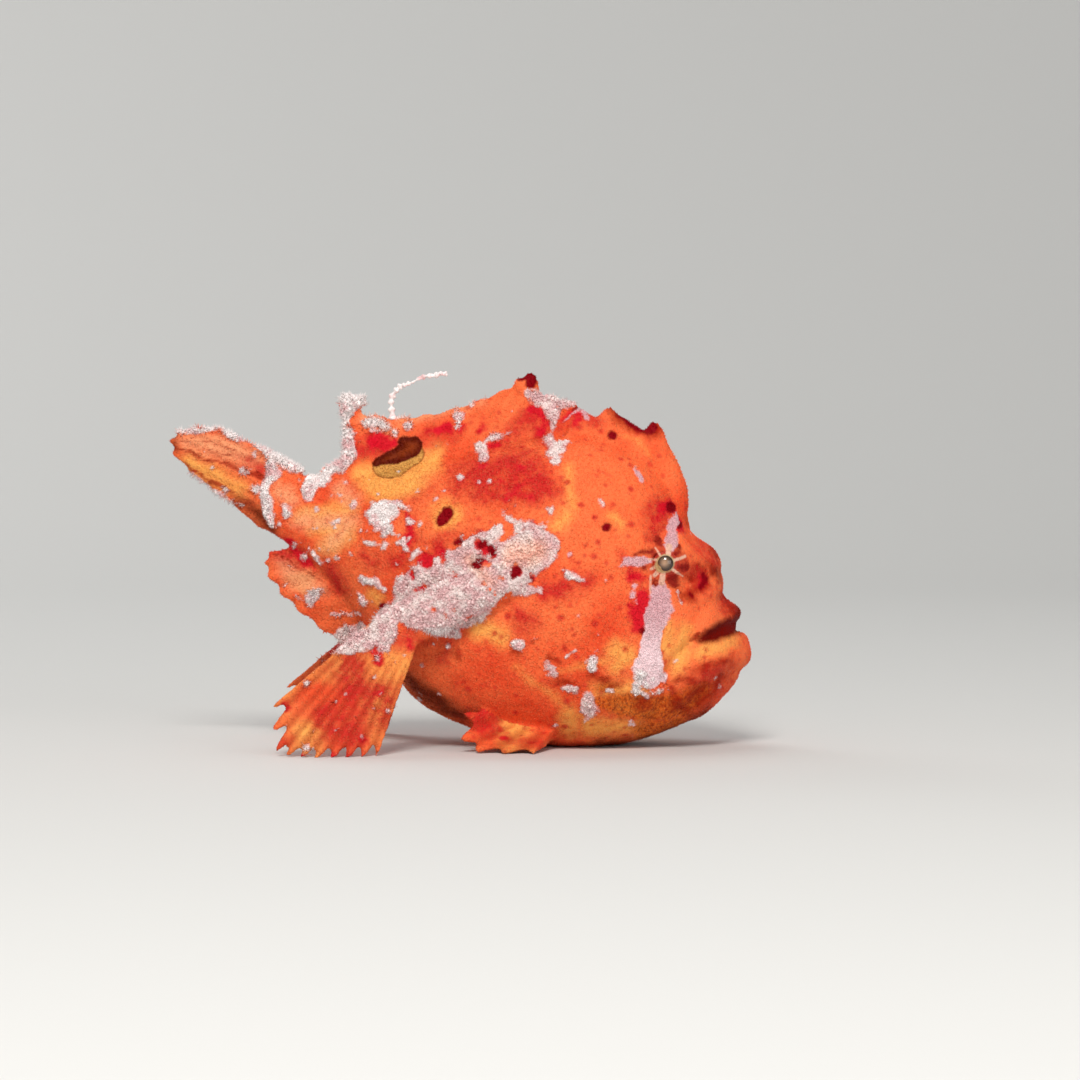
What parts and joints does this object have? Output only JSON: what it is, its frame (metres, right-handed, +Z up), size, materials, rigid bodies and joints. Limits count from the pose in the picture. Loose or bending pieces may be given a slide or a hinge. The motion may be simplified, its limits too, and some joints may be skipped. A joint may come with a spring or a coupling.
{
  "type": "painted frogfish",
  "caption": "Life-size still model of a young orange painted frogfish resting on its throat, hand-like pectoral fins and pelvic fins, tail fin folded and held up, lure laid back",
  "frame": {"origin": "centre of the footprint's bounding box, on the ground it rests on", "axes": "+X points out of the snout along the ground, +Y out of the left flank, +Z up"},
  "size_m": [0.0996, 0.053, 0.064],
  "materials": {
    "skin": "orange, velvety fish skin with red spots and raised pale patches",
    "eye": "wet, glassy eye with a cream ring and pale rays round a brown pupil"
  },
  "bodies": {
    "root": {"head": "skin", "lower_jaw": "skin", "second_dorsal_spine": "skin", "third_dorsal_spine": "skin", "illicium": "skin", "eye_right": "eye", "eye_left": "eye", "trunk": "skin", "soft_dorsal_fin": "skin", "anal_fin": "skin", "pectoral_arm_right": "skin", "pectoral_hand_right": "skin", "pelvic_fin_right": "skin", "pectoral_arm_left": "skin", "pectoral_hand_left": "skin", "pelvic_fin_left": "skin", "tail_stalk": "skin", "caudal_fin": "skin"}
  },
  "joints": []
}
